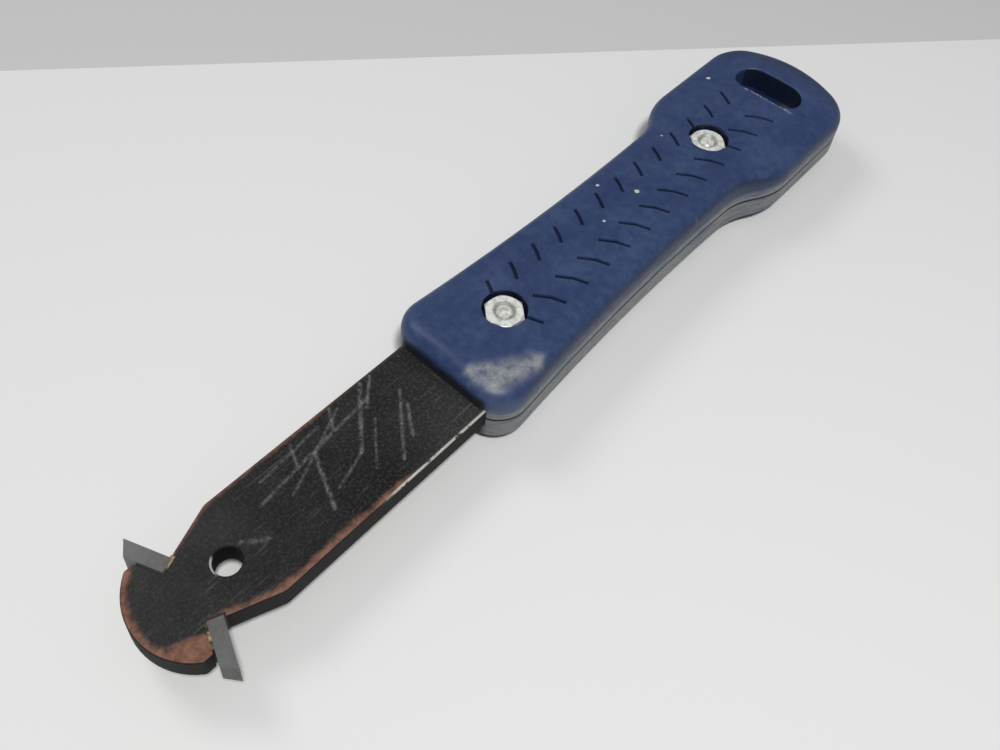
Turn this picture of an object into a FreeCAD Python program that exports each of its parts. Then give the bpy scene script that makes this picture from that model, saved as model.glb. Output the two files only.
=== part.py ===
"""Two-tooth carbide scraper with a bolted two-shell handle, drawn as a parametric FreeCAD document.

Frame: +X runs from the toothed head to the butt, +Y to the left of the head, +Z up. The origin is at the
middle of the tool's footprint, on the surface it lies on. All sizes are in millimetres.
"""
import FreeCAD, Part
import math
import os
from FreeCAD import Vector
import Sketcher

os.makedirs("parts", exist_ok=True)
doc = FreeCAD.newDocument("scraper")

# ---------------------------------------------------------------- driving dimensions
DIMENSIONS = {
    # overall places along X
    "nose_x": -115.0,          # foremost point of the head
    "handle_front_x": -34.5,   # flat front face of the handle
    "butt_x": 115.0,           # rearmost point of the handle
    # blade: one inch bar with a narrower tang
    "blade_half_width": 12.7,
    "blade_thickness": 5.7,
    "blade_edge_round": 0.4,
    "shoulder_x": -89.9,       # where the straight edges end
    "shoulder_round": 3.0,
    "neck_x": -100.9,          # where the taper meets the tooth
    "neck_half_width": 8.4,
    "nose_radius": 15.5,
    "head_half_width": 12.3,
    "head_corner_round": 1.3,
    "eye_x": -94.0,            # hanging hole in the blade
    "eye_radius": 3.0,
    "eye_chamfer": 0.25,
    "tang_start_x": -30.0,
    "tang_end_x": 78.0,
    "tang_half_width": 9.5,
    "tang_corner_round": 2.5,
    # carbide teeth and their braze
    "tooth_lean": 22.5,        # degrees that a tooth leans towards the nose
    "tooth_width": 3.2,
    "tooth_height": 6.1,
    "tooth_rear_x": -101.9,    # rear face of a tooth, measured at tooth_rear_y
    "tooth_rear_y": 10.0,
    "tooth_root_y": 7.9,       # inner corner of the rear face
    "tooth_tip_y": 17.8,       # cutting corner
    "tooth_relief": 58.0,      # degrees between the end face and the rear face
    "braze_gap": 0.5,
    "braze_proud": 0.15,
    # handle
    "handle_half_height": 9.8,
    "crown_radius": 80.0,
    "edge_round": 3.6,
    "front_corner_radius": 8.0,
    "waist_x": 38.0,
    "waist_half_width": 14.8,
    "waist_radius": 730.0,
    "flare_inner_radius": 20.0,
    "flare_outer_radius": 20.0,
    "flare_end_x": 78.0,
    "butt_half_width": 21.1,
    "butt_corner_radius": 10.5,
    "butt_end_radius": 47.0,
    "parting_gap": 0.1,
    "tang_clearance": 0.15,
    # hanging slot in the butt
    "slot_x": 99.4,
    "slot_half_length": 10.0,
    "slot_radius": 4.9,
    "slot_lip_round": 0.6,
    # chevron grip grooves
    "groove_pitch": 8.2,
    "groove_first_x": -10.8,   # outer end of the first pair
    "groove_count": 13.0,
    "groove_outer_y": 8.45,
    "groove_inner_y": 2.2,
    "groove_left_inner_y": 3.9,
    "groove_sweep": 3.9,       # how far the inner end lies towards the head
    "groove_bow": 0.55,        # how far the middle of a right-hand groove bows towards the butt
    "groove_left_bow": 0.165,
    "groove_half_width": 0.15, # at the bottom of the groove
    "groove_depth": 0.75,
    "groove_flank": 25.0,      # degrees that each flank leans out from upright
    # fasteners: number 8 machine screws and nuts
    "bolt_front_x": -14.1,
    "bolt_rear_x": 68.8,
    "bolt_drop": 0.4,          # how much lower the rear screw and nut sit
    "screw_radius": 2.08,
    "screw_length": 14.4,
    "screw_tip_chamfer": 0.5,
    "screw_seat_z": 4.2,
    "nut_seat_rise": 11.1,     # from under the screw's head to under the nut
    "nut_turn": -11.2,         # degrees from +X to a corner of each nut
    "head_radius": 4.0,
    "head_height": 2.6,
    "head_dome": 1.2,
    "recess_width": 1.0,
    "recess_span": 4.4,
    "recess_depth": 1.6,
    "hole_radius": 2.3,
    "nut_across_flats": 8.73,
    "nut_height": 3.3,
    "nut_bore_radius": 2.12,
    "nut_countersink": 0.45,
    "nut_corner_chamfer": 0.55,
    "counterbore_radius": 5.4,
    "head_counterbore_radius": 4.6,
    # locating pegs beside the slot
    "peg_x": 99.4,
    "peg_y": 15.2,
    "peg_radius": 1.8,
    "peg_height": 3.0,
    "peg_clearance": 0.1,
}

sheet = doc.addObject("Spreadsheet::Sheet", "Dims")
for row, (name, value) in enumerate(DIMENSIONS.items(), start=1):
    sheet.set(f"A{row}", name)
    sheet.set(f"B{row}", repr(float(value)))
    sheet.setAlias(f"B{row}", name)
doc.recompute()


def dim(name):
    """A driving dimension, read back from the sheet."""
    return float(sheet.get(name))


def bind(obj, prop, expression):
    """Ties one property of an object to cells of the sheet."""
    for name in sorted(DIMENSIONS, key=len, reverse=True):
        expression = expression.replace(f"${name}", f"Dims.{name}")
    obj.setExpression(prop, expression)


# ---------------------------------------------------------------- helpers for bodies and sketches
def origin_item(body, role):
    return next(item for item in body.Origin.OriginFeatures if item.Role == role)


def new_body(label):
    body = doc.addObject("PartDesign::Body", label)
    body.Label = label
    return body


def new_sketch(body, name, plane="XY_Plane", height=None):
    """A sketch on one of the body's own origin planes, lifted along the plane's normal."""
    sketch = body.newObject("Sketcher::SketchObject", name)
    sketch.AttachmentSupport = [(origin_item(body, plane), "")]
    sketch.MapMode = "FlatFace"
    if height is not None:
        bind(sketch, "AttachmentOffset.Base.z", height)
    return sketch


def end_number(sketch, geometry, point):
    """1 or 2: which end of a sketch edge lies at the point."""
    start = sketch.getPoint(geometry, 1)
    return 1 if start.distanceToPoint(point) < 1e-6 else 2


def arc_between(centre, radius, start, end):
    """The shorter arc of a circle between two of its points."""
    first = math.atan2(start.y - centre.y, start.x - centre.x)
    last = math.atan2(end.y - centre.y, end.x - centre.x)
    if (last - first) % (2 * math.pi) > math.pi:
        first, last = last, first
    return Part.ArcOfCircle(Part.Circle(centre, Vector(0, 0, 1), radius), first, last)


def draw_loop(sketch, edges):
    """Adds a closed loop of edges, given as (shape, start point), and joins their ends."""
    numbers = [sketch.addGeometry(shape, False) for shape, _ in edges]
    for index, number in enumerate(numbers):
        following = numbers[(index + 1) % len(numbers)]
        joint = edges[(index + 1) % len(numbers)][1]
        sketch.addConstraint(Sketcher.Constraint(
            "Coincident", number, end_number(sketch, number, joint),
            following, end_number(sketch, following, joint)))
    return numbers


def draw_polygon(sketch, points):
    """Adds a closed polygon, with each corner held at its place."""
    edges = []
    for index, point in enumerate(points):
        edges.append((Part.LineSegment(point, points[(index + 1) % len(points)]), point))
    numbers = draw_loop(sketch, edges)
    sketch.addConstraint([Sketcher.Constraint("Block", number) for number in numbers])
    return numbers


def hold(sketch, kind, args, expression):
    """A dimension of a sketch, tied to the sheet."""
    index = sketch.addConstraint(Sketcher.Constraint(kind, *args))
    bind(sketch, f"Constraints[{index}]", expression)


def draw_circle(sketch, centre_x, radius, centre_y=None):
    """A circle whose centre and radius are tied to the sheet."""
    x = sheet_value(centre_x)
    y = sheet_value(centre_y) if centre_y else 0.0
    circle = Part.Circle(Vector(x, y, 0), Vector(0, 0, 1), sheet_value(radius))
    number = sketch.addGeometry(circle, False)
    hold(sketch, "DistanceX", (-1, 1, number, 3, x), centre_x)
    if centre_y:
        hold(sketch, "DistanceY", (-1, 1, number, 3, y), centre_y)
    else:
        sketch.addConstraint(Sketcher.Constraint("PointOnObject", number, 3, -1))
    hold(sketch, "Radius", (number, sheet_value(radius)), radius)


def sheet_value(expression):
    """The value of a sheet expression made of cells, numbers and signs."""
    total = 0.0
    for term in expression.replace("-", "+-").split("+"):
        term = term.strip()
        if not term:
            continue
        sign = -1.0 if term.startswith("-") else 1.0
        word = term.lstrip("-").strip()
        factor, _, cell = word.rpartition("* ")
        total += sign * (dim(cell[1:]) * float(factor or 1) if cell.startswith("$") else float(cell))
    return total


def pad(body, sketch, name, length, reverse=False):
    feature = body.newObject("PartDesign::Pad", name)
    feature.Profile = sketch
    feature.Reversed = reverse
    bind(feature, "Length", length)
    doc.recompute()
    return feature


def cut(body, sketch, name, depth, reverse=False, symmetric=False):
    """A pocket that must take material away."""
    before = body.Shape.Volume
    feature = body.newObject("PartDesign::Pocket", name)
    feature.Profile = sketch
    feature.Reversed = reverse
    feature.Midplane = symmetric
    bind(feature, "Length", depth)
    doc.recompute()
    if body.Shape.Volume > before - 1e-3:
        raise RuntimeError(f"{body.Label}: {name} cuts nothing")
    return feature


def mirror(body, features, name, plane="XZ_Plane"):
    feature = body.newObject("PartDesign::Mirrored", name)
    feature.Originals = features
    feature.MirrorPlane = (origin_item(body, plane), [""])
    body.Tip = feature
    doc.recompute()
    return feature


def edges_where(feature, test):
    """Names of the edges of a feature for which the test is true."""
    return [f"Edge{i}" for i, edge in enumerate(feature.Shape.Edges, start=1) if test(edge)]


def round_edges(body, name, radius, test, kind="Fillet"):
    """A fillet or a chamfer on the edges that pass the test."""
    base = body.Tip
    names = edges_where(base, test)
    feature = body.newObject(f"PartDesign::{kind}", name)
    feature.Base = (base, names)
    bind(feature, "Radius" if kind == "Fillet" else "Size", radius)
    doc.recompute()
    return feature


def at_height(edge, height, tolerance=1e-4):
    box = edge.BoundBox
    return abs(box.ZMin - height) < tolerance and abs(box.ZMax - height) < tolerance


# ---------------------------------------------------------------- the tooth's own lines
lean = math.radians(dim("tooth_lean"))
tooth_axis = Vector(-math.sin(lean), math.cos(lean), 0)
tooth_across = Vector(-math.cos(lean), -math.sin(lean), 0)   # from the rear face to the front face
tooth_rear = Vector(dim("tooth_rear_x"), dim("tooth_rear_y"), 0)


def on_tooth(y, across):
    """Point at height y on the line that lies a distance across, forward of the rear face."""
    start = tooth_rear + tooth_across * across
    return start + tooth_axis * ((y - start.y) / tooth_axis.y)


def meet(point, direction, other, other_direction):
    """Where two lines in the XY plane cross."""
    across = direction.x * other_direction.y - direction.y * other_direction.x
    step = other - point
    return point + direction * ((step.x * other_direction.y - step.y * other_direction.x) / across)


tooth_inner = on_tooth(dim("tooth_root_y"), 0)
tooth_tip = on_tooth(dim("tooth_tip_y"), 0)
relief = lean - math.radians(dim("tooth_relief"))
# from the cutting corner to the front face
relief_direction = Vector(math.sin(relief), -math.cos(relief), 0)
tooth_outline = [
    tooth_inner,
    tooth_tip,
    meet(tooth_tip, relief_direction, on_tooth(0, dim("tooth_width")), tooth_axis),
    tooth_inner + tooth_across * dim("tooth_width"),
]


def mirrored(points, side):
    return [Vector(point.x, point.y * side, 0) for point in points]


# ---------------------------------------------------------------- blade
def make_blade():
    """Flat bar: crescent head, two tooth notches, tapered neck, straight blade and hidden tang."""
    body = new_body("blade")
    middle = "$handle_half_height - $blade_thickness / 2"
    gap = dim("braze_gap")
    taper_start = Vector(dim("shoulder_x"), dim("blade_half_width"), 0)
    taper_end = Vector(dim("neck_x"), dim("neck_half_width"), 0)
    notch_rear = meet(taper_start, taper_end - taper_start, on_tooth(0, -gap), tooth_axis)
    notch_root_rear = tooth_inner + tooth_across * -gap - tooth_axis * gap
    notch_root_front = notch_root_rear + tooth_across * (dim("tooth_width") + 2 * gap)
    notch_mouth = on_tooth(dim("head_half_width"), dim("tooth_width") + gap)
    nose = Vector(dim("nose_x"), 0, 0)
    nose_centre = nose + Vector(dim("nose_radius"), 0, 0)
    head_y = dim("head_half_width")
    corner_x = nose_centre.x - math.sqrt(dim("nose_radius") ** 2 - head_y ** 2)
    head_corner = Vector(corner_x, head_y, 0)
    tang_start = dim("tang_start_x")
    path = [
        nose,
        head_corner,
        notch_mouth,
        notch_root_front,
        notch_root_rear,
        notch_rear,
        taper_start,
        Vector(tang_start, dim("blade_half_width"), 0),
        Vector(tang_start, dim("tang_half_width"), 0),
        Vector(dim("tang_end_x"), dim("tang_half_width"), 0),
        Vector(dim("tang_end_x"), 0, 0),
    ]
    sketch = new_sketch(body, "blade_outline", height=middle)
    edges = [(arc_between(nose_centre, dim("nose_radius"), path[0], path[1]), path[0])]
    for index in range(1, len(path)):
        edges.append((Part.LineSegment(path[index], path[(index + 1) % len(path)]), path[index]))
    numbers = draw_loop(sketch, edges)
    sketch.addConstraint(Sketcher.Constraint("PointOnObject", numbers[0], 3, -1))
    nose_end = end_number(sketch, numbers[0], nose)
    sketch.addConstraint(Sketcher.Constraint("PointOnObject", numbers[0], nose_end, -1))
    hold(sketch, "Radius", (numbers[0], dim("nose_radius")), "$nose_radius")
    sketch.addConstraint([Sketcher.Constraint("Block", number) for number in numbers[1:5]])
    straight, step, tang, end = numbers[6], numbers[7], numbers[8], numbers[9]
    sketch.addConstraint(Sketcher.Constraint("Horizontal", straight))
    sketch.addConstraint(Sketcher.Constraint("Vertical", step))
    sketch.addConstraint(Sketcher.Constraint("Horizontal", tang))
    sketch.addConstraint(Sketcher.Constraint("Vertical", end))
    hold(sketch, "DistanceX", (-1, 1, straight, 2, tang_start), "$tang_start_x")
    hold(sketch, "DistanceY", (-1, 1, straight, 2, dim("blade_half_width")), "$blade_half_width")
    hold(sketch, "DistanceX", (-1, 1, straight, 1, dim("shoulder_x")), "$shoulder_x")
    hold(sketch, "DistanceY", (-1, 1, tang, 1, dim("tang_half_width")), "$tang_half_width")
    hold(sketch, "DistanceX", (-1, 1, tang, 2, dim("tang_end_x")), "$tang_end_x")
    half = pad(body, sketch, "blade_half", "$blade_thickness")
    mirror(body, [half], "blade_whole")

    def upright_at(x, y):
        def test(edge):
            box = edge.BoundBox
            return box.ZLength > 1 and math.hypot(box.Center.x - x, abs(box.Center.y) - y) < 0.01
        return test

    round_edges(body, "head_corners", "$head_corner_round", upright_at(head_corner.x, head_y))
    round_edges(body, "shoulders", "$shoulder_round", upright_at(taper_start.x, taper_start.y))
    round_edges(body, "tang_corners", "$tang_corner_round", upright_at(path[9].x, path[9].y))

    holes = new_sketch(body, "blade_holes", height=middle)
    draw_circle(holes, "$eye_x", "$eye_radius")
    draw_circle(holes, "$bolt_front_x", "$hole_radius")
    draw_circle(holes, "$bolt_rear_x", "$hole_radius")
    cut(body, holes, "blade_bores", "$blade_thickness", reverse=True)

    low = dim("handle_half_height") - dim("blade_thickness") / 2
    high = low + dim("blade_thickness")

    def level(edge):
        return at_height(edge, low) or at_height(edge, high)

    def eye_rim(edge):
        centre = edge.BoundBox.Center
        return level(edge) and abs(centre.x - dim("eye_x")) < 0.1 and abs(centre.y) < 0.1

    def exposed(edge):
        """Level edges outside the handle that aren't a hole's rim or a notch's edge."""
        box = edge.BoundBox
        if not level(edge) or box.XMax > tang_start + 0.01 or eye_rim(edge):
            return False
        inside_notch = [notch_mouth, notch_root_front, notch_root_rear, notch_rear]
        middle_point = (edge.Vertexes[0].Point + edge.Vertexes[-1].Point) * 0.5
        for first, second in zip(inside_notch, inside_notch[1:]):
            centre = (first + second) * 0.5
            if math.hypot(middle_point.x - centre.x, abs(middle_point.y) - centre.y) < 0.05:
                return False
        return True

    round_edges(body, "eye_rims", "$eye_chamfer", eye_rim, "Chamfer")
    round_edges(body, "blade_edges", "$blade_edge_round", exposed)
    return body


# ---------------------------------------------------------------- teeth and braze
def make_tooth(label, side):
    """Carbide bar, ground back at its outer end so that its rear corner cuts."""
    body = new_body(label)
    sketch = new_sketch(body, "tooth_outline", height="$handle_half_height - $tooth_height / 2")
    draw_polygon(sketch, mirrored(tooth_outline, side))
    pad(body, sketch, "tooth_bar", "$tooth_height")
    return body


def make_braze(label, side):
    """Filler metal in the notch, around the inner end of a tooth."""
    body = new_body(label)
    gap = dim("braze_gap")
    width = dim("tooth_width")
    mouth_y = dim("head_half_width") - 0.6
    rear_y = dim("neck_half_width")
    root_rear = tooth_inner + tooth_across * -gap - tooth_axis * gap
    outline = [
        on_tooth(rear_y, -gap),
        root_rear,
        root_rear + tooth_across * (width + 2 * gap),
        on_tooth(mouth_y, width + gap),
        on_tooth(mouth_y, width),
        tooth_inner + tooth_across * width,
        tooth_inner,
        on_tooth(rear_y, 0),
    ]
    sketch = new_sketch(body, "braze_outline",
                        height="$handle_half_height - $blade_thickness / 2 - $braze_proud")
    draw_polygon(sketch, mirrored(outline, side))
    pad(body, sketch, "braze_fill", "$blade_thickness + 2 * $braze_proud")
    return body


# ---------------------------------------------------------------- handle
def circle_meets(centre_a, radius_a, centre_b, radius_b):
    """Where two circles cross, on the left of the way from the first centre to the second."""
    link = centre_b - centre_a
    along = (radius_a ** 2 - radius_b ** 2 + link.Length ** 2) / (2 * link.Length)
    aside = math.sqrt(radius_a ** 2 - along ** 2)
    unit = link * (1 / link.Length)
    return centre_a + unit * along + Vector(-unit.y, unit.x, 0) * aside


def handle_half_outline():
    """Edges of the handle's left half in plan, as (shape, start point), from the front to the butt."""
    front, back, half = dim("handle_front_x"), dim("butt_x"), dim("butt_half_width")
    corner_r, waist_r = dim("front_corner_radius"), dim("waist_radius")
    inner_r, outer_r = dim("flare_inner_radius"), dim("flare_outer_radius")
    butt_r, end_r = dim("butt_corner_radius"), dim("butt_end_radius")
    waist = Vector(dim("waist_x"), dim("waist_half_width") + waist_r, 0)
    corner_x = front + corner_r
    corner = Vector(corner_x, waist.y - math.sqrt((waist_r + corner_r) ** 2 - (corner_x - waist.x) ** 2), 0)
    outer = Vector(dim("flare_end_x"), half - outer_r, 0)
    inner = circle_meets(outer, inner_r + outer_r, waist, waist_r - inner_r)
    end = Vector(back - end_r, 0, 0)
    butt = Vector(end.x + math.sqrt((end_r - butt_r) ** 2 - (half - butt_r) ** 2), half - butt_r, 0)

    def towards(start, target, length):
        return start + (target - start).normalize() * length

    points = [
        Vector(front, 0, 0),
        Vector(front, corner.y, 0),
        towards(corner, waist, corner_r),
        towards(waist, inner, waist_r),
        towards(inner, outer, inner_r),
        Vector(outer.x, half, 0),
        Vector(butt.x, half, 0),
        towards(end, butt, end_r),
        Vector(back, 0, 0),
    ]
    arcs = {
        1: (corner, corner_r), 2: (waist, waist_r), 3: (inner, inner_r),
        4: (outer, outer_r), 6: (butt, butt_r), 7: (end, end_r),
    }
    edges = []
    for index, point in enumerate(points):
        following = points[(index + 1) % len(points)]
        if index in arcs:
            centre, radius = arcs[index]
            edges.append((arc_between(centre, radius, point, following), point))
        else:
            edges.append((Part.LineSegment(point, following), point))
    return edges


def draw_handle_outline(sketch):
    edges = handle_half_outline()
    numbers = draw_loop(sketch, edges)
    sketch.addConstraint([Sketcher.Constraint("Block", number) for number in numbers])


def make_form():
    """The solid outside form of the upper handle half, crowned and with its outer edge rounded."""
    body = new_body("handle_form")
    middle = dim("handle_half_height")
    sketch = new_sketch(body, "plan", height="$handle_half_height + $parting_gap / 2")
    draw_handle_outline(sketch)
    half = pad(body, sketch, "form_half", "$handle_half_height - $parting_gap / 2")
    mirror(body, [half], "form_whole")

    crown = new_sketch(body, "crown", "YZ_Plane")
    reach = dim("butt_half_width") + 4
    drop = dim("crown_radius") - math.sqrt(dim("crown_radius") ** 2 - reach ** 2)
    top, clear = 2 * middle, 2 * middle + 3
    centre = Vector(0, top - dim("crown_radius"), 0)
    left, right = Vector(-reach, top - drop, 0), Vector(reach, top - drop, 0)
    far_right, far_left = Vector(reach, clear, 0), Vector(-reach, clear, 0)
    numbers = draw_loop(crown, [
        (arc_between(centre, dim("crown_radius"), left, right), left),
        (Part.LineSegment(right, far_right), right),
        (Part.LineSegment(far_right, far_left), far_right),
        (Part.LineSegment(far_left, left), far_left),
    ])
    crown.addConstraint([Sketcher.Constraint("Block", number) for number in numbers])
    cut(body, crown, "crown_cut", "2 * ($butt_x - $nose_x)", symmetric=True)

    round_edges(body, "outer_round", "$edge_round", lambda edge: edge.BoundBox.ZMin > middle * 1.5)
    return body


def make_shell(label, side):
    """One moulded half of the handle: side +1 above the parting plane, -1 below it."""
    form = doc.getObject("handle_form") or make_form()
    if side < 0:
        upper = form
        form = doc.addObject("Part::Mirroring", "handle_form_below")
        form.Source = upper
        form.Normal = Vector(0, 0, 1)
        bind(form, "Base.z", "$handle_half_height")
        doc.recompute()
    body = new_body(label)
    body.BaseFeature = form
    doc.recompute()
    down = side < 0
    middle = dim("handle_half_height")
    sign = "-" if down else "+"

    # room for the tang and for the root of the blade
    room = new_sketch(body, "tang_room", height=f"$handle_half_height {sign} $parting_gap / 2")
    mouth_x = dim("handle_front_x") - 1
    blade_y = dim("blade_half_width") + dim("tang_clearance")
    tang_y = dim("tang_half_width") + dim("tang_clearance")
    step_x = dim("tang_start_x") + dim("tang_clearance")
    end_x = dim("tang_end_x") + dim("tang_clearance")
    draw_polygon(room, [
        Vector(mouth_x, -blade_y, 0), Vector(step_x, -blade_y, 0), Vector(step_x, -tang_y, 0),
        Vector(end_x, -tang_y, 0), Vector(end_x, tang_y, 0), Vector(step_x, tang_y, 0),
        Vector(step_x, blade_y, 0), Vector(mouth_x, blade_y, 0),
    ])
    room_depth = "$blade_thickness / 2 + $tang_clearance - $parting_gap / 2"
    cut(body, room, "tang_pocket", room_depth, reverse=not down)

    bores = new_sketch(body, "bolt_bores", height="$handle_half_height")
    draw_circle(bores, "$bolt_front_x", "$hole_radius")
    draw_circle(bores, "$bolt_rear_x", "$hole_radius")
    cut(body, bores, "bolt_holes", "$handle_half_height", reverse=not down)

    # counterbores: nuts above, screw heads below, and the rear pair lower
    for place, lower in (("front", ""), ("rear", " - $bolt_drop")):
        seat = f"$screw_seat_z + $nut_seat_rise{lower}"
        radius = "$counterbore_radius"
        if down:
            seat = f"$screw_seat_z{lower}"
            radius = "$head_counterbore_radius"
        counterbore = new_sketch(body, f"counterbore_{place}", height=seat)
        draw_circle(counterbore, f"$bolt_{place}_x", radius)
        cut(body, counterbore, f"{place}_counterbore", "$handle_half_height", reverse=not down)

    make_slot(body)
    if down:
        sockets = new_sketch(body, "sockets", height="$handle_half_height")
        draw_circle(sockets, "$peg_x", "$peg_radius + $peg_clearance", "$peg_y")
        draw_circle(sockets, "$peg_x", "$peg_radius + $peg_clearance", "-$peg_y")
        cut(body, sockets, "peg_sockets", "$peg_height + $peg_clearance + $parting_gap / 2")
    else:
        make_grooves(body)
        pegs = new_sketch(body, "pegs", height="$handle_half_height + $parting_gap / 2")
        draw_circle(pegs, "$peg_x", "$peg_radius", "$peg_y")
        draw_circle(pegs, "$peg_x", "$peg_radius", "-$peg_y")
        pad(body, pegs, "locating_pegs", "$peg_height", reverse=True)
    return body


def make_slot(body):
    """Round-ended hanging slot across the butt, right through, with an eased outer lip."""
    radius = dim("slot_radius")
    straight = dim("slot_half_length") - radius
    x, middle = dim("slot_x"), dim("handle_half_height")
    sketch = new_sketch(body, "hanging_slot", height="$handle_half_height")
    near, far = Vector(x, -straight, 0), Vector(x, straight, 0)
    corners = [Vector(x - radius, -straight, 0), Vector(x + radius, -straight, 0),
               Vector(x + radius, straight, 0), Vector(x - radius, straight, 0)]
    numbers = draw_loop(sketch, [
        (Part.ArcOfCircle(Part.Circle(near, Vector(0, 0, 1), radius), math.pi, 2 * math.pi), corners[0]),
        (Part.LineSegment(corners[1], corners[2]), corners[1]),
        (Part.ArcOfCircle(Part.Circle(far, Vector(0, 0, 1), radius), 0, math.pi), corners[2]),
        (Part.LineSegment(corners[3], corners[0]), corners[3]),
    ])
    sketch.addConstraint([Sketcher.Constraint("Block", number) for number in numbers])
    cut(body, sketch, "slot_cut", "4 * $handle_half_height", symmetric=True)

    def lip(edge):
        box = edge.BoundBox
        in_slot = box.XMin > x - radius - 0.1 and box.XMax < x + radius + 0.1
        in_slot = in_slot and max(-box.YMin, box.YMax) < dim("slot_half_length") + 0.1
        outer_face = min(abs(box.ZMin - middle), abs(box.ZMax - middle)) > middle * 0.6
        return in_slot and outer_face

    round_edges(body, "slot_lip", "$slot_lip_round", lip)


def make_grooves(body):
    """Two rows of short bowed V grooves that slant towards the head; the left row is the shorter."""
    outer_y = dim("groove_outer_y")
    slant = dim("groove_sweep") / (outer_y - dim("groove_inner_y"))
    crown, radius = dim("crown_radius"), dim("groove_half_width")

    def floor(y):
        surface = 2 * dim("handle_half_height") - crown + math.sqrt(crown ** 2 - y ** 2)
        return surface - dim("groove_depth")

    rows = (("left", 1, dim("groove_left_inner_y"), dim("groove_left_bow")),
            ("right", -1, dim("groove_inner_y"), dim("groove_bow")))
    for row, side, inner_y, bow in rows:
        tilt = math.atan2(floor(inner_y) - floor(outer_y), outer_y - inner_y)
        sketch = new_sketch(body, f"grooves_{row}")
        turn = FreeCAD.Rotation(Vector(1, 0, 0), -side * math.degrees(tilt))
        sketch.AttachmentOffset = FreeCAD.Placement(Vector(0, side * inner_y, floor(inner_y)), turn)
        reach = (outer_y - inner_y) / math.cos(tilt)
        outer, inner = Vector(0, side * reach, 0), Vector(-slant * (outer_y - inner_y), 0, 0)
        along = (inner - outer).normalize()
        aside = Vector(-along.y, along.x, 0) * radius
        for index in range(int(dim("groove_count"))):
            shift = Vector(dim("groove_first_x") + index * dim("groove_pitch"), 0, 0)
            outside, inside = shift + outer, shift + inner
            middle = (outside + inside) * 0.5 + Vector(bow, 0, 0)
            draw_polygon(sketch, [outside + aside, outside - aside, middle - aside,
                                  inside - aside, inside + aside, middle + aside])
        before = body.Shape.Volume
        pocket = body.newObject("PartDesign::Pocket", f"groove_cut_{row}")
        pocket.Profile = sketch
        pocket.Reversed = True
        pocket.Length = 3
        bind(pocket, "TaperAngle", "$groove_flank")
        doc.recompute()
        if body.Shape.Volume > before - 1e-3:
            raise RuntimeError(f"{body.Label}: the {row} grooves cut nothing")


# ---------------------------------------------------------------- fasteners
def make_screw(label, place, lower):
    """Pan-head machine screw, head down, with a cross recess."""
    body = new_body(label)
    seat = dim("screw_seat_z") - dim(lower) if lower else dim("screw_seat_z")
    x = dim(place)
    tip = seat + dim("screw_length")
    bottom = seat - dim("head_height")
    radius, head = dim("screw_radius"), dim("head_radius")
    chamfer, dome = dim("screw_tip_chamfer"), dim("head_dome")
    sketch = new_sketch(body, "profile", "XZ_Plane")
    start = Vector(x, bottom, 0)
    dome_end = Vector(x + head, bottom + dome, 0)
    dome_middle = Vector(x + head * 0.72, bottom + dome * 0.27, 0)
    points = [
        dome_end, Vector(x + head, seat, 0), Vector(x + radius, seat, 0),
        Vector(x + radius, tip - chamfer, 0), Vector(x + radius - chamfer, tip, 0), Vector(x, tip, 0), start,
    ]
    edges = [(Part.Arc(start, dome_middle, dome_end), start)]
    for first, second in zip(points, points[1:]):
        edges.append((Part.LineSegment(first, second), first))
    numbers = draw_loop(sketch, edges)
    sketch.addConstraint([Sketcher.Constraint("Block", number) for number in numbers])
    turned = body.newObject("PartDesign::Revolution", "turned_blank")
    turned.Profile = sketch
    turned.ReferenceAxis = (sketch, [f"Edge{len(numbers)}"])
    turned.Angle = 360
    doc.recompute()
    recess = new_sketch(body, "cross_recess", height="0")
    recess.AttachmentOffset = FreeCAD.Placement(Vector(0, 0, bottom), FreeCAD.Rotation())
    half, reach = dim("recess_width") / 2, dim("recess_span") / 2
    cross = []
    for quarter in range(4):
        angle = math.pi / 2 * quarter
        for across, out in ((-half, reach), (half, reach), (half, half)):
            cross.append(Vector(x + out * math.cos(angle) - across * math.sin(angle),
                                out * math.sin(angle) + across * math.cos(angle), 0))
    draw_polygon(recess, cross)
    cut(body, recess, "recess", "$recess_depth", reverse=True)
    return body


def make_nut(label, place, lower):
    """Hexagon nut: a turned ring with chamfered faces and bore, milled to six flats."""
    body = new_body(label)
    seat = dim("screw_seat_z") + dim("nut_seat_rise") - (dim(lower) if lower else 0)
    top = seat + dim("nut_height")
    x = dim(place)
    corner = dim("nut_across_flats") / math.sqrt(3)
    bore, sink, fall = dim("nut_bore_radius"), dim("nut_countersink"), dim("nut_corner_chamfer")
    flat = dim("nut_across_flats") / 2
    profile = new_sketch(body, "ring_profile", "XZ_Plane")
    numbers = draw_polygon(profile, [
        Vector(x + bore, seat + sink, 0), Vector(x + bore + sink, seat, 0),
        Vector(x + flat, seat, 0), Vector(x + corner, seat + fall, 0),
        Vector(x + corner, top - fall, 0), Vector(x + flat, top, 0),
        Vector(x + bore + sink, top, 0), Vector(x + bore, top - sink, 0),
    ])
    axis = profile.addGeometry(Part.LineSegment(Vector(x, seat, 0), Vector(x, top, 0)), True)
    profile.addConstraint(Sketcher.Constraint("Block", axis))
    turned = body.newObject("PartDesign::Revolution", "turned_ring")
    turned.Profile = profile
    turned.ReferenceAxis = (profile, ["Axis0"])
    turned.Angle = 360
    doc.recompute()
    flats = new_sketch(body, "flats")
    turn = math.radians(dim("nut_turn"))
    draw_polygon(flats, [Vector(x + corner * math.cos(turn + k * math.pi / 3),
                                corner * math.sin(turn + k * math.pi / 3), 0) for k in range(6)])
    draw_circle(flats, f"${place}", "2 * $nut_across_flats")
    cut(body, flats, "milled_flats", "4 * $handle_half_height", symmetric=True)
    return body


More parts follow.
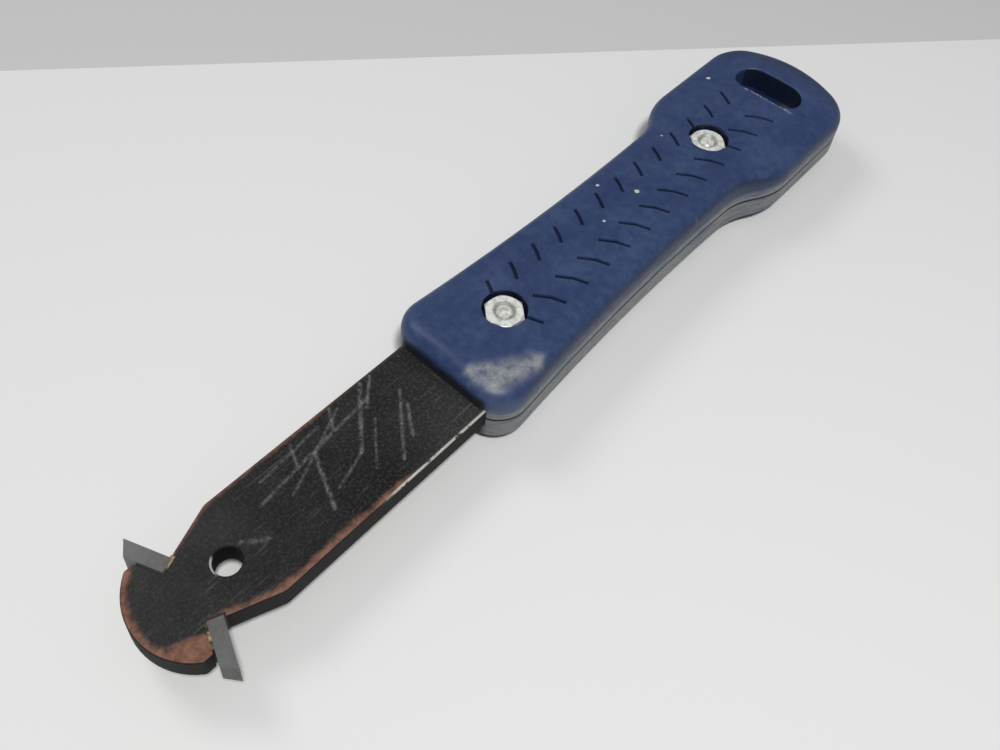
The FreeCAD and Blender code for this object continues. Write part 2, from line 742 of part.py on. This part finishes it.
# ---------------------------------------------------------------- build, check and write
pieces = [
    make_blade(),
    make_tooth("tooth_left", 1),
    make_tooth("tooth_right", -1),
    make_braze("braze_left", 1),
    make_braze("braze_right", -1),
    make_shell("handle_upper", 1),
    make_shell("handle_lower", -1),
    make_screw("screw_front", "bolt_front_x", None),
    make_screw("screw_rear", "bolt_rear_x", "bolt_drop"),
    make_nut("nut_front", "bolt_front_x", None),
    make_nut("nut_rear", "bolt_rear_x", "bolt_drop"),
]
doc.recompute()

for item in doc.Objects:
    if "Invalid" in item.State or "Error" in item.State:
        raise RuntimeError(f"{item.Label} failed: {item.State}")

for piece in pieces:
    shape = piece.Shape
    if shape.isNull() or not shape.isValid() or len(shape.Solids) != 1:
        raise RuntimeError(f"{piece.Label} isn't one valid solid")
    shape.exportStep(f"parts/{piece.Label}.step")
    box = shape.optimalBoundingBox()
    print(f"{piece.Label:14s} x {box.XMin:8.2f} {box.XMax:8.2f}  y {box.YMin:7.2f} {box.YMax:7.2f}  "
          f"z {box.ZMin:6.2f} {box.ZMax:6.2f}  volume {shape.Volume:9.1f}")
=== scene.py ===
"""Looks for a two-tooth carbide scraper with a bolted blue grip, lying on pale paper."""
import functools
import math

import bpy
from mathutils import Matrix, Vector

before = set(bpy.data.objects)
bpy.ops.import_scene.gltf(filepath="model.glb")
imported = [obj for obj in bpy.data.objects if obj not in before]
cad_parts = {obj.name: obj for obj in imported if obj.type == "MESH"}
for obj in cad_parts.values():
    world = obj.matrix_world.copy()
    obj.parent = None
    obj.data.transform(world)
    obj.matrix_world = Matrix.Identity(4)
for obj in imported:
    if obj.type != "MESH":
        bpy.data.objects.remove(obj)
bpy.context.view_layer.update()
MM = 0.001


# ---------------------------------------------------------------- shader wiring
class Wire:
    """A value inside a finish's shader; arithmetic on it adds Math nodes."""

    def __init__(self, finish, socket):
        self.finish, self.socket = finish, socket

    def _math(self, operation, *values):
        sockets = dict(enumerate(values))
        return Wire(self.finish, self.finish.node("Math", {"operation": operation}, sockets).outputs[0])

    def __add__(self, other):
        return self._math("ADD", self, other)

    __radd__ = __add__

    def __mul__(self, other):
        return self._math("MULTIPLY", self, other)

    __rmul__ = __mul__

    def __sub__(self, other):
        return self._math("SUBTRACT", self, other)

    def __rsub__(self, other):
        return self._math("SUBTRACT", other, self)

    def __pow__(self, other):
        return self._math("POWER", self, other)

    def __abs__(self):
        return self._math("ABSOLUTE", self)

    def least(self, other):
        return self._math("MINIMUM", self, other)

    def most(self, other):
        return self._math("MAXIMUM", self, other)

    def root(self):
        return self._math("SQRT", self.most(0.0))

    def rise(self, low, high, bottom=0.0, top=1.0):
        """Smooth step from bottom to top as the value goes from low to high."""
        sockets = {"Value": self, "From Min": low, "From Max": high, "To Min": bottom, "To Max": top}
        node = self.finish.node("MapRange", {"interpolation_type": "SMOOTHSTEP"}, sockets)
        return Wire(self.finish, node.outputs[0])


class Finish:
    """A material whose shader is built from wires in millimetres of the tool's own frame."""

    def __init__(self, name, **fixed):
        self.material = bpy.data.materials.new(name)
        self.material.use_nodes = True
        self.tree = self.material.node_tree
        self.surface = self.tree.nodes["Principled BSDF"]
        for socket, value in fixed.items():
            self.surface.inputs[socket.replace("_", " ").title().replace("Ior", "IOR")].default_value = value
        coordinates = self.node("TexCoord").outputs["Object"]
        scaled = self.node("VectorMath", {"operation": "SCALE"}, {0: coordinates, "Scale": 1 / MM})
        self.place = scaled.outputs[0]
        split = self.node("SeparateXYZ", {}, {0: self.place})
        self.x, self.y, self.z = (Wire(self, split.outputs[k]) for k in range(3))

    def node(self, kind, settings=None, sockets=None):
        """Adds a shader node: settings first, then the values or links of its sockets."""
        node = self.tree.nodes.new("ShaderNode" + kind)
        for name, value in (settings or {}).items():
            setattr(node, name, value)
        for name, value in (sockets or {}).items():
            self.feed(node.inputs[name], value)
        return node

    def feed(self, socket, value):
        source = value.socket if isinstance(value, Wire) else value
        if isinstance(source, bpy.types.NodeSocket):
            self.tree.links.new(source, socket)
        elif socket.type == "RGBA" and len(source) == 3:
            socket.default_value = (*source, 1.0)
        else:
            socket.default_value = source

    def shape(self, **inputs):
        """Feeds the surface's own sockets, such as Base_Color."""
        for name, value in inputs.items():
            self.feed(self.surface.inputs[name.replace("_", " ")], value)

    def stretched(self, turn, stretch):
        """The place vector turned about Z by some degrees and squeezed by a factor on each axis."""
        node = self.node("Mapping", {"vector_type": "POINT"}, {"Vector": self.place, "Scale": stretch,
                                                               "Rotation": (0, 0, math.radians(turn))})
        return node.outputs[0]

    def noise(self, scale, detail=3.0, rough=0.55, at=None, offset=0.0):
        """Noise from 0 to 1 with the given number of waves in a millimetre."""
        sockets = {"Vector": at or self.place, "W": offset,
                   "Scale": scale, "Detail": detail, "Roughness": rough}
        return Wire(self, self.node("TexNoise", {"noise_dimensions": "4D"}, sockets).outputs[0])

    def cells(self, scale):
        """Distance to the nearest of scattered points."""
        sockets = {"Vector": self.place, "Scale": scale}
        return Wire(self, self.node("TexVoronoi", {"feature": "F1"}, sockets).outputs[0])

    def mix(self, factor, under, over):
        """Blend of two colours."""
        node = self.node("Mix", {"data_type": "RGBA"}, {0: factor, 6: under, 7: over})
        return node.outputs[2]

    def bump(self, height, distance, strength):
        """Relief of the given height, at most as deep as the distance in millimetres."""
        sockets = {"Height": height, "Distance": distance * MM, "Strength": strength}
        return self.node("Bump", {}, sockets).outputs[0]

    def up(self):
        """How far the true surface faces up or down, from 0 on a wall to 1 on a level face."""
        normal = self.node("NewGeometry").outputs["True Normal"]
        split = self.node("SeparateXYZ", {}, {0: normal})
        return abs(Wire(self, split.outputs[2]))

    def streak(self, start, end, width, solid):
        """1 on a line between two points seen from above; solid is the share of its width that is full."""
        length = math.dist(start, end)
        ux, uy = (end[0] - start[0]) / length, (end[1] - start[1]) / length
        east, north = self.x - start[0], self.y - start[1]
        along = east * ux + north * uy
        across = abs(north * ux - east * uy)
        beyond = (abs(along - length / 2) - length / 2).most(0.0)
        return (across + beyond).rise(width * solid, width, 1.0, 0.0)

    def strokes(self, lines, solid):
        """The strongest of several streaks, each given by its two ends and its width."""
        marks = [self.streak(start, end, width, solid) for start, end, width in lines]
        return functools.reduce(either, marks)

    def reach(self, centre):
        """Distance from a vertical line through a point seen from above."""
        east, north = self.x - centre[0], self.y - centre[1]
        return (east * east + north * north).root()

    def spot(self, centre, radius, soft, ragged):
        """1 inside a spot seen from above; its rim wanders by how far ragged strays from 0.35."""
        reach = self.reach(centre) + ragged - 0.35
        return reach.rise(radius * (1 - soft), radius, 1.0, 0.0)


def either(first, second):
    return first.most(second)


def near_side(finish):
    """1 on the half of the tool that lies towards -Y."""
    return finish.y.rise(-6.0, -2.0, 1.0, 0.0)


# colours that several finishes share, in linear light
GRIME_AND_SHADE, EYE_GLINT = (0.003, 0.003, 0.004), (0.62, 0.62, 0.60)


# ---------------------------------------------------------------- grip plastic
CROWN_RADIUS, GRIP_HEIGHT, GRIP_FRONT_X, BUTT_X = 80.0, 19.6, -34.5, 115.0
NAVY, FADED_NAVY, ROUND_SHADE_NAVY, GROOVE_SHADE = (
    (0.019, 0.038, 0.112), (0.040, 0.067, 0.158), (0.007, 0.012, 0.032), (0.004, 0.006, 0.016))
DUST, SCUFF_AND_GLARE, PAINT_FLECK, WALL_DUST_AND_SHEEN, BUTT_DARK = (
    (0.42, 0.43, 0.42), (0.50, 0.49, 0.42), (0.62, 0.60, 0.52), (0.21, 0.215, 0.20), (0.030, 0.033, 0.036))
# wear seen from above, with a painted glare in the front-corner scuff: two ends and a width, or a centre and
# a radius
SCUFF_AND_GLARE_STROKES = [
    ((-31.0, -11.5), (-19.0, -14.0), 4.4),
    ((-31.0, -9.0), (-24.0, -12.8), 5.2),
    ((-32.0, -6.0), (-28.0, -9.0), 3.2),
]
RUBS = [((93.7, 4.4), (94.4, -10.4), 0.7), ((43.3, -14.1), (42.0, -15.6), 0.5)]
SPECKS = [
    ((33.0, 10.0), 0.5), ((38.0, 1.3), 0.75), ((23.8, 0.8), 0.45), ((91.3, 15.0), 0.7), ((60.5, 9.5), 0.35),
]


def grip_plastic(name):
    """Fine-grained navy moulding, scuffed at the front corner under a painted glare, with painted shade down
    in the grooves.
    """
    f = Finish(name, ior=1.48)
    cloud = f.noise(0.09, 3.0, 0.6)
    blotch = f.noise(0.45, 4.0, 0.6)
    colour = f.mix((cloud * 0.6 + blotch * 0.4).rise(0.35, 0.7), NAVY, FADED_NAVY)

    # wear on the upper face, with a painted glare in the scuff at the front corner
    fleck = f.cells(1.2).rise(0.05, 0.16, 1.0, 0.0) * f.noise(0.35, 2.0).rise(0.5, 0.62)
    colour = f.mix(fleck * 0.3, colour, DUST)
    near_top = f.z.rise(14.0, 17.0)
    # the front-corner scuff is real wear plus a painted glare
    scuff_and_glare = f.strokes(SCUFF_AND_GLARE_STROKES, 0.0) ** 1.5 * f.noise(0.38, 5.0, 0.7).rise(0.18, 0.74) * near_top
    colour = f.mix(scuff_and_glare * 0.66, colour, SCUFF_AND_GLARE)
    rub = f.strokes(RUBS, 0.25) * f.noise(1.6, 5.0, 0.75).rise(0.46, 0.60) * near_top
    colour = f.mix(rub * 0.6, colour, DUST)
    ragged = f.noise(1.5, 3.0, 0.7) * 0.7
    for centre, radius in SPECKS:
        speck = f.spot(centre, radius, 0.35, ragged) * f.z.rise(16.0, 17.0)
        colour = f.mix(speck * 0.9, colour, PAINT_FLECK)

    # dust and painted sheen drawn out along the near wall, darker round the butt, painted shade at the front,
    # a painted contact shadow at the foot and grime along the seam
    # the pale streaks on the near wall are partly dust, partly a painted sheen
    wall = (1 - f.up()).rise(0.35, 0.75) * f.z.rise(2.0, 3.5) * f.z.rise(11.0, 14.0, 1.0, 0.0)
    drawn_out = f.noise(1.0, 4.0, 0.65, at=f.stretched(0, (0.06, 0.3, 1.1))).rise(0.30, 0.55)
    colour = f.mix(wall * near_side(f) * drawn_out * 0.85, colour, WALL_DUST_AND_SHEEN)
    # darker towards the butt
    butt_darkening = f.x.rise(BUTT_X - 11, BUTT_X - 1) * f.noise(0.25, 4.0, 0.65).rise(0.25, 0.6)
    colour = f.mix(butt_darkening * 0.65, colour, BUTT_DARK)
    # painted shade on the front face where the blade goes in
    front_shade = f.x.rise(GRIP_FRONT_X + 0.3, GRIP_FRONT_X + 1.5, 1.0, 0.0) * f.z.rise(14.8, 16.8, 1.0, 0.0)
    front_shade = front_shade * abs(f.y).rise(11.5, 14.0, 1.0, 0.0)
    # painted contact shadow along the foot
    foot_shadow = f.z.rise(1.0, 4.0, 1.0, 0.0)
    seam_dirt = abs(f.z - GRIP_HEIGHT / 2).rise(0.15, 0.55, 1.0, 0.0)
    # dirt here holds the painted shade and shadow as well as the seam's grime
    dirt = either(either(front_shade, foot_shadow), seam_dirt)
    colour = f.mix(dirt * 0.92, colour, GRIME_AND_SHADE)

    # how far the surface lies under the crown: the near edge's round and the grooves get painted shade
    drop = (CROWN_RADIUS ** 2 - f.y * f.y).root() - (CROWN_RADIUS - GRIP_HEIGHT) - f.z
    round_shade = drop.rise(0.5, 1.6) * f.z.rise(12.0, 14.0) * abs(f.y).rise(10.5, 12.5) * near_side(f)
    colour = f.mix(round_shade * f.x.rise(-31.0, -22.0) * 0.6, colour, ROUND_SHADE_NAVY)
    sunk = drop.rise(0.12, 0.5) * abs(f.y).rise(9.1, 9.5, 1.0, 0.0) * f.z.rise(12.0, 13.0)
    sunk = sunk * f.x.rise(GRIP_FRONT_X + 4, GRIP_FRONT_X + 5) * f.x.rise(BUTT_X - 6, BUTT_X - 5, 1.0, 0.0)
    colour = f.mix(sunk * 0.8, colour, GROOVE_SHADE)

    rough = blotch.rise(0.3, 0.7, 0.36, 0.50) + either(scuff_and_glare, rub) * 0.12 + dirt * 0.4
    grain = f.noise(2.6, 4.0, 0.7) + f.noise(0.8, 2.0) * 0.5
    f.shape(Base_Color=colour, Roughness=rough, Normal=f.bump(grain, 0.06, 0.7))
    return f.material


# ---------------------------------------------------------------- blade steel
BLADE_HALF_WIDTH, SHOULDER_X, NOSE_CENTRE_X, NOSE_RADIUS, EYE_X = 12.7, -89.9, -99.5, 15.5, -94.0
TAPER_COSINE, TAPER_SINE = 0.94, 0.34
BLACK_OXIDE, OXIDE_DUST_AND_HAZE, HAIRLINE, SCRATCHED, BURR_HIGHLIGHT = (
    (0.003, 0.003, 0.0035), (0.075, 0.076, 0.075), (0.34, 0.34, 0.33), (0.28, 0.28, 0.27), (0.75, 0.73, 0.68))
DARK_RUST, LIGHT_RUST = (0.12, 0.052, 0.032), (0.30, 0.140, 0.088)
# scratches seen from above: two ends, a width and a strength
SCRATCHES = [
    ((-49.5, 7.9), (-65.1, 6.3), 0.7, 0.5), ((-65.1, 6.3), (-82.1, 4.4), 0.7, 0.45),
    ((-48.3, 11.8), (-59.6, -1.0), 0.8, 0.55), ((-59.6, -1.0), (-68.6, -3.9), 0.6, 0.4),
    ((-45.3, 11.8), (-51.4, 6.2), 0.6, 0.5), ((-57.3, 11.9), (-60.3, 7.0), 0.6, 0.4),
    ((-69.1, 10.9), (-71.1, 6.0), 0.6, 0.4), ((-66.6, 5.9), (-72.2, -6.7), 0.8, 0.55),
    ((-43.1, 4.5), (-54.5, -8.5), 0.7, 0.5), ((-44.4, 0.9), (-49.2, -5.8), 0.7, 0.5),
    ((-89.9, 1.1), (-85.4, -2.4), 1.0, 0.35), ((-56.0, 10.5), (-76.0, 1.5), 0.6, 0.35),
    ((-62.0, 10.0), (-79.0, 8.5), 0.6, 0.35), ((-52.0, 3.0), (-60.0, -6.0), 0.5, 0.35),
]


def blade_steel():
    """Black oxide steel, scratched and speckled, browned with rust along its edges."""
    f = Finish("blade_black_oxide", ior=1.5, specular_ior_level=0.35)
    speckle = f.noise(1.5, 5.0, 0.85).rise(0.48, 0.70)
    cloud = f.noise(0.10, 3.0, 0.6).rise(0.4, 0.7)
    # a pale haze towards the grip is a painted sheen; the speckle and cloud are dust
    painted_haze = f.x.rise(-62.0, -36.0) * f.y.rise(-14.0, 8.0, 1.0, 0.35)
    level = f.up().rise(0.6, 0.9)
    dust_and_haze = (speckle * (0.5 + painted_haze * 0.5) + cloud * 0.12 + painted_haze * 0.3) * level
    colour = f.mix(dust_and_haze, BLACK_OXIDE, OXIDE_DUST_AND_HAZE)

    # fine hairlines two ways, then the deeper scratches, then a painted glint on the rim of the eye
    hair = f.noise(1.0, 2.0, 0.5, at=f.stretched(38, (0.06, 2.2, 1.0))).rise(0.60, 0.74)
    cross = f.noise(1.0, 2.0, 0.5, at=f.stretched(-52, (0.07, 1.9, 1.0)), offset=4.0).rise(0.60, 0.74)
    scraped = f.noise(0.13, 2.0, 0.5, offset=2.0).rise(0.42, 0.6)
    colour = f.mix(either(hair, cross) * scraped * level * 0.16, colour, HAIRLINE)
    broken = f.noise(0.9, 5.0, 0.8).rise(0.36, 0.66)
    for start, end, width, strength in SCRATCHES:
        line = f.streak(start, end, width, 0.0)
        colour = f.mix(line * broken * level * strength, colour, SCRATCHED)
    # painted glint on the left of the eye's rim
    rim = f.spot((EYE_X, 0.0), 3.5, 0.08, 0.35) * f.x.rise(EYE_X - 2.2, EYE_X - 1.2, 1.0, 0.0)
    rim = rim * f.y.rise(-1.5, 0.5) * f.z.rise(11.6, 12.0)
    colour = f.mix(rim * 0.75, colour, EYE_GLINT)

    # distance in from the blade's outline: straight edges, tapers and the round nose
    straight = BLADE_HALF_WIDTH - abs(f.y)
    taper = (f.x - SHOULDER_X) * TAPER_SINE + straight * TAPER_COSINE
    nose = NOSE_RADIUS - f.reach((NOSE_CENTRE_X, 0.0))
    on_head = f.x.rise(-104.5, -103.0, 1.0, 0.0)
    inset = straight.least(taper) * (1 - on_head) + nose * on_head

    # rust reaches in from the outline, furthest at the nose's near corner
    patch = f.noise(0.35, 4.0, 0.65)
    near_corner = f.spot((-108.0, -10.0), 6.5, 0.7, patch)
    reach_in = patch * 3.0 - 0.5 + near_corner * 2.0
    share = f.x.rise(-62.0, -52.0, 1.0, 0.0) * (0.35 + near_side(f) * 0.75 + on_head * 0.75)
    rust = (inset - reach_in * share).rise(-0.8, 1.0, 1.0, 0.0) * level * inset.rise(0.05, 0.35, 0.25, 1.0)
    rust_tone = f.mix(f.noise(0.6, 5.0, 0.7).rise(0.3, 0.7), DARK_RUST, LIGHT_RUST)
    colour = f.mix(rust * 0.85, colour, rust_tone)

    # a burr runs along the near top edge beside the grip, painted as a bright highlight
    burr = straight.rise(0.2, 0.55, 1.0, 0.0) * f.y.rise(-1.0, 0.0, 1.0, 0.0) * f.x.rise(-66.0, -58.0)
    burr = burr * f.noise(0.5, 3.0, 0.7).rise(0.34, 0.48) * f.z.rise(12.0, 12.5)
    colour = f.mix(burr, colour, BURR_HIGHLIGHT)

    rough = 0.34 + speckle * 0.15 + rust * 0.3 - burr * 0.1 + (1 - level) * 0.4
    pits = speckle * 0.35 + rust * f.noise(2.5, 3.0)
    f.shape(Base_Color=colour, Roughness=rough, Metallic=burr * 0.7, Normal=f.bump(pits, 0.08, 0.6))
    return f.material


# ---------------------------------------------------------------- carbide, braze and zinc
CARBIDE_DARK, CARBIDE_LIGHT, ROOT_DIRT, TOOTH_WALL_SHADE = (
    (0.042, 0.046, 0.042), (0.092, 0.098, 0.088), (0.035, 0.032, 0.028), (0.012, 0.012, 0.011))
BRAZE_TAN, FLUX_STAIN = (0.34, 0.25, 0.14), (0.026, 0.022, 0.018)
NUT_ZINC, SCREW_ZINC, ZINC_BLOOM, ZINC_STAIN, THREAD_GAP_SHADE = (
    (0.78, 0.79, 0.77), (0.60, 0.61, 0.57), (0.84, 0.85, 0.79), (0.14, 0.135, 0.10), (0.20, 0.20, 0.155))
BOLT_POSITIONS = (-14.1, 68.8)


def carbide():
    """Dull sintered grey, dirty towards the root, with painted shade on its walls."""
    f = Finish("tooth_carbide", ior=2.2, metallic=0.3)
    colour = f.mix(f.noise(1.1, 4.0, 0.7), CARBIDE_DARK, CARBIDE_LIGHT)
    dirt = abs(f.y).rise(9.0, 14.5, 1.0, 0.0) * f.noise(0.9, 4.0, 0.6).rise(0.3, 0.6)
    colour = f.mix(dirt * 0.8, colour, ROOT_DIRT)
    # painted shade on the tooth walls
    colour = f.mix((1 - f.up()).rise(0.3, 0.7) * 0.8, colour, TOOTH_WALL_SHADE)
    f.shape(Base_Color=colour, Roughness=f.noise(0.8).rise(0.3, 0.7, 0.38, 0.55),
            Normal=f.bump(f.noise(3.0, 3.0), 0.03, 0.6))
    return f.material


def braze_metal():
    """Filler metal dark with flux, tan where it is bare: behind one tooth and ahead of the other."""
    f = Finish("braze_tan", metallic=0.5, ior=1.6)
    ragged = f.noise(0.8)
    bare = either(f.spot((-101.0, 8.2), 3.0, 0.5, ragged), f.spot((-106.0, -9.0), 3.2, 0.5, ragged))
    stain = 1 - bare * f.noise(0.8, 4.0, 0.7).rise(0.36, 0.52)
    f.shape(Base_Color=f.mix(stain, BRAZE_TAN, FLUX_STAIN),
            Roughness=0.42 + stain * 0.25, Normal=f.bump(f.noise(1.2, 3.0), 0.2, 0.8))
    return f.material


def dull_zinc(name, tone):
    """Zinc plate with a chalky bloom and a ring of painted shade where nut and screw thread meet."""
    f = Finish(name, ior=2.0)
    bloom = f.noise(0.9, 4.0, 0.65).rise(0.34, 0.62)
    colour = f.mix(bloom, tone, ZINC_BLOOM)
    stain = f.noise(1.3, 4.0, 0.7, offset=2.0).rise(0.56, 0.70)
    colour = f.mix(stain * 0.4, colour, ZINC_STAIN)
    # a ring of painted shade in the gap round each bolt end
    front, rear = (f.reach((bolt_x, 0.0)) for bolt_x in BOLT_POSITIONS)
    from_bolt = front.least(rear)
    ring = from_bolt.rise(1.7, 2.1) * from_bolt.rise(2.4, 3.1, 1.0, 0.0)
    colour = f.mix(ring * 0.75, colour, THREAD_GAP_SHADE)
    f.shape(Base_Color=colour, Metallic=0.45 - bloom * 0.3, Roughness=0.34 + bloom * 0.2,
            Normal=f.bump(f.noise(2.0, 3.0), 0.04, 0.5))
    return f.material


FINISHES = {
    "blade": blade_steel(),
    "handle_upper": grip_plastic("grip_navy_upper"),
    "handle_lower": grip_plastic("grip_navy_lower"),
}
tooth_finish, braze_finish = carbide(), braze_metal()
nut_finish, screw_finish = dull_zinc("nut_zinc", NUT_ZINC), dull_zinc("screw_zinc", SCREW_ZINC)
for side in ("left", "right"):
    FINISHES[f"tooth_{side}"] = tooth_finish
    FINISHES[f"braze_{side}"] = braze_finish
for place in ("front", "rear"):
    FINISHES[f"nut_{place}"] = nut_finish
    FINISHES[f"screw_{place}"] = screw_finish
for node, finish in FINISHES.items():
    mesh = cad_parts[node].data
    mesh.materials.clear()
    mesh.materials.append(finish)


# ---------------------------------------------------------------- paper, light and camera
PAPER_REACH, TABLE_REACH, PAPER_THICKNESS = 1.6, 1.6, 0.3 * MM
PAPER_EDGE = Vector((-0.0336, 0.1688)), Vector((0.1958, -0.0260))   # two points on its far edge
PAPER_EDGE_SPARE = 0.9                                              # how far it runs on past them


def plain(name, colour):
    """A dull finish of one colour."""
    f = Finish(name, roughness=0.8)
    f.shape(Base_Color=colour)
    return f.material


def sheet(name, corners, height, finish):
    """A level sheet that the tool lies over."""
    mesh = bpy.data.meshes.new(name)
    mesh.from_pydata([(x, y, height) for x, y in corners], [], [tuple(range(len(corners)))])
    mesh.materials.append(finish)
    piece = bpy.data.objects.new(name, mesh)
    bpy.context.scene.collection.objects.link(piece)


paper = plain("paper_white", (0.78, 0.78, 0.765))
backing = plain("backing_grey", (0.60, 0.60, 0.585))
left, right = -TABLE_REACH, TABLE_REACH
sheet("table_top", [(left, left), (right, left), (right, right), (left, right)], -PAPER_THICKNESS, backing)
run = (PAPER_EDGE[1] - PAPER_EDGE[0]).normalized()
into = Vector((run.y, -run.x)) * PAPER_REACH
far_corners = [PAPER_EDGE[0] - run * PAPER_EDGE_SPARE, PAPER_EDGE[1] + run * PAPER_EDGE_SPARE]
sheet("paper", [far_corners[1], far_corners[1] + into, far_corners[0] + into, far_corners[0]], 0.0, paper)


def lamp(name, place, target, size, power):
    """A round white lamp that faces a target."""
    data = bpy.data.lights.new(name, "AREA")
    data.shape, data.size, data.energy = "DISK", size, power
    light = bpy.data.objects.new(name, data)
    light.location = place
    light.rotation_mode = "QUATERNION"
    light.rotation_quaternion = (Vector(target) - Vector(place)).to_track_quat("-Z", "Y")
    bpy.context.scene.collection.objects.link(light)


lamp("by_camera", (-0.24, -0.30, 0.84), (0.02, 0.0, 0.0), 0.12, 5.6)
lamp("window", (-0.10, 0.80, 0.90), (0.05, 0.05, 0.0), 0.5, 3.0)
world = bpy.data.worlds.new("room")
world.use_nodes = True
room_light = world.node_tree.nodes["Background"].inputs
room_light["Color"].default_value = (0.93, 0.95, 1.0, 1.0)
room_light["Strength"].default_value = 0.22
bpy.context.scene.world = world
bpy.context.scene.view_settings.view_transform = "Standard"

camera_data = bpy.data.cameras.new("camera")
camera_data.sensor_width, camera_data.lens = 36.0, 38.12
camera_data.shift_x, camera_data.shift_y = 0.0312, -0.165
camera_data.clip_start = 0.01
camera = bpy.data.objects.new("camera", camera_data)
eye, aim, roll = Vector((-0.1361, -0.0886, 0.2092)), Vector((0.0095, 0.0325, 0.0100)), math.radians(-4.41)
look = (aim - eye).to_track_quat("-Z", "Y").to_matrix().to_4x4()
camera.matrix_world = Matrix.Translation(eye) @ look @ Matrix.Rotation(-roll, 4, "Z")
bpy.context.scene.collection.objects.link(camera)
bpy.context.scene.camera = camera
